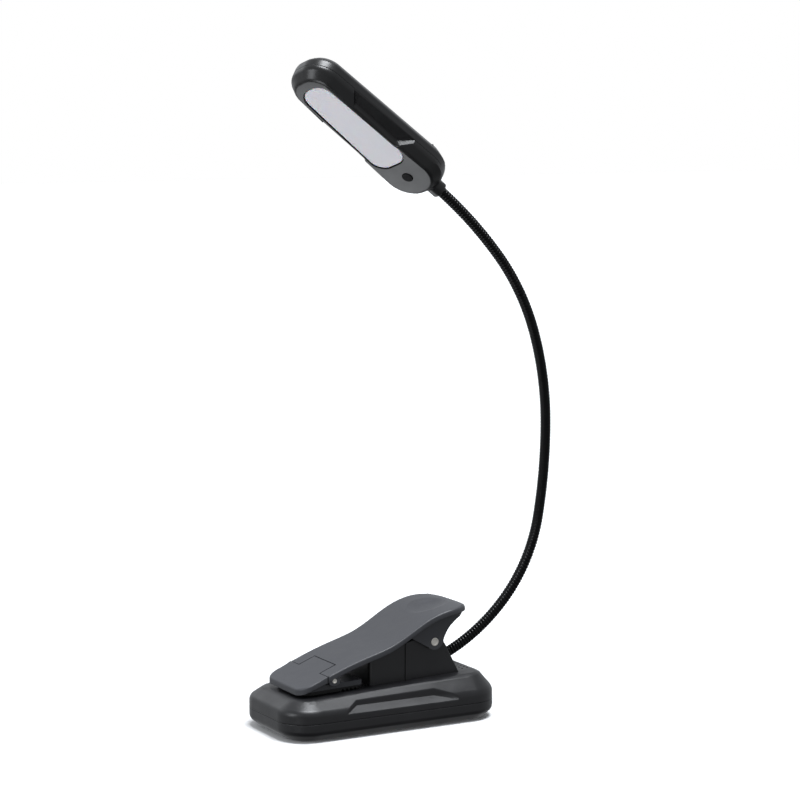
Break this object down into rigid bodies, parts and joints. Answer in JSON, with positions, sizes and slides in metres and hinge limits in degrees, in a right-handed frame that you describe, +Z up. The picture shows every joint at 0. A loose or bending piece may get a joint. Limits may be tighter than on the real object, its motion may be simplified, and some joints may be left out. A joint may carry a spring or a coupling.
{
  "type": "clip on reading lamp",
  "caption": "Cordless clip-on reading lamp: battery base with sprung clamp lever and padded jaw, bendable metal hose neck, and a long flat head with a milky light panel and a push button.",
  "frame": {"origin": "middle of the flat underside of the base", "axes": "+Z up, +X towards the rear of the base where the neck leaves, -X towards the jaw, Y across the base"},
  "size_m": [0.1323, 0.048, 0.2649],
  "materials": {
    "shell_black": "satin",
    "lever_grey": "matte",
    "head_black": "semi-gloss",
    "button_black": "satin",
    "lens_milky": "satin, translucent",
    "light_guide_clear": "clear",
    "pad_rubber": "matte",
    "bright_steel": "bright",
    "spring_steel": "satin",
    "brass_fitting": "satin",
    "collar_black": "satin",
    "hose_black_metal": "glossy black",
    "cable_pvc": "matte",
    "cell_wrap": "satin",
    "foam_tape": "matte",
    "board_green": "satin",
    "chip_black": "matte",
    "led_yellow": "satin"
  },
  "bodies": {
    "base": {"base_bottom_shell": "shell_black", "base_top_shell": "shell_black", "base_screws": "bright_steel", "battery_cell": "cell_wrap", "battery_tape": "foam_tape", "battery_leads": "cable_pvc", "main_board": "board_green", "board_chips": "chip_black", "usb_socket": "bright_steel", "status_light_guide": "light_guide_clear", "post_rear_housing": "shell_black", "post_screws": "bright_steel", "pivot_pin": "bright_steel", "clamp_spring_coil": "spring_steel", "neck_base_ferrule": "brass_fitting", "neck_base_nut": "brass_fitting", "neck_lead": "cable_pvc", "hose_span_1": "hose_black_metal", "cable_span_1": "cable_pvc"},
    "lever": {"clamp_lever": "lever_grey", "jaw_pin": "bright_steel", "clamp_spring_arm": "spring_steel"},
    "jaw": {"jaw_flap": "lever_grey", "jaw_pad": "pad_rubber"},
    "neck_a": {"hose_span_2": "hose_black_metal", "cable_span_2": "cable_pvc"},
    "neck_b": {"hose_span_3": "hose_black_metal", "cable_span_3": "cable_pvc"},
    "neck_c": {"hose_span_4": "hose_black_metal", "cable_span_4": "cable_pvc"},
    "neck_d": {"hose_span_5": "hose_black_metal", "cable_span_5": "cable_pvc"},
    "head": {"hose_span_6": "hose_black_metal", "cable_span_6": "cable_pvc", "neck_collar": "collar_black", "neck_head_nut": "brass_fitting", "head_back_shell": "head_black", "head_face_shell": "head_black", "diffuser_lens": "lens_milky", "led_board": "board_green", "led_chips": "led_yellow", "tact_switch": "chip_black", "head_screws": "bright_steel", "head_lead": "cable_pvc"},
    "button": {"head_button": "button_black"}
  },
  "joints": [
    {"name": "clamp_open", "type": "hinge", "parent": "base", "child": "lever", "pos_m": [0.021, 0, 0.0325], "axis": [0, 1, 0], "range_deg": [0, 20], "stiffness_Nm_per_rad": 0.3, "springref_deg": -34.38},
    {"name": "jaw_tilt", "type": "hinge", "parent": "lever", "child": "jaw", "pos_m": [-0.0252, 0, 0.022], "axis": [0, 1, 0], "range_deg": [-20, 0]},
    {"name": "neck_bend_low", "type": "hinge", "parent": "base", "child": "neck_a", "pos_m": [0.06203, 0, 0.04321], "axis": [0, -1, 0], "range_deg": [-20, 20]},
    {"name": "neck_sway_low", "type": "hinge", "parent": "neck_a", "child": "neck_b", "pos_m": [0.07869, 0, 0.07692], "axis": [-0.9842, 0, 0.1771], "range_deg": [-20, 20]},
    {"name": "neck_bend_mid", "type": "hinge", "parent": "neck_b", "child": "neck_c", "pos_m": [0.08211, 0, 0.11482], "axis": [0, -1, 0], "range_deg": [-20, 20]},
    {"name": "neck_sway_high", "type": "hinge", "parent": "neck_c", "child": "neck_d", "pos_m": [0.07663, 0, 0.15238], "axis": [-0.9578, 0, -0.2874], "range_deg": [-20, 20]},
    {"name": "neck_bend_high", "type": "hinge", "parent": "neck_d", "child": "head", "pos_m": [0.05883, 0, 0.18579], "axis": [0, -1, 0], "range_deg": [-20, 20]},
    {"name": "button_press", "type": "slide", "parent": "head", "child": "button", "axis": [0.5692, 0.3907, 0.7234], "range_m": [0, 0.0004], "stiffness_N_per_m": 500, "springref_m": -0.0004}
  ],
  "couplings": [
    {"joint": "jaw_tilt", "follows": "clamp_open", "ratio": -1}
  ]
}
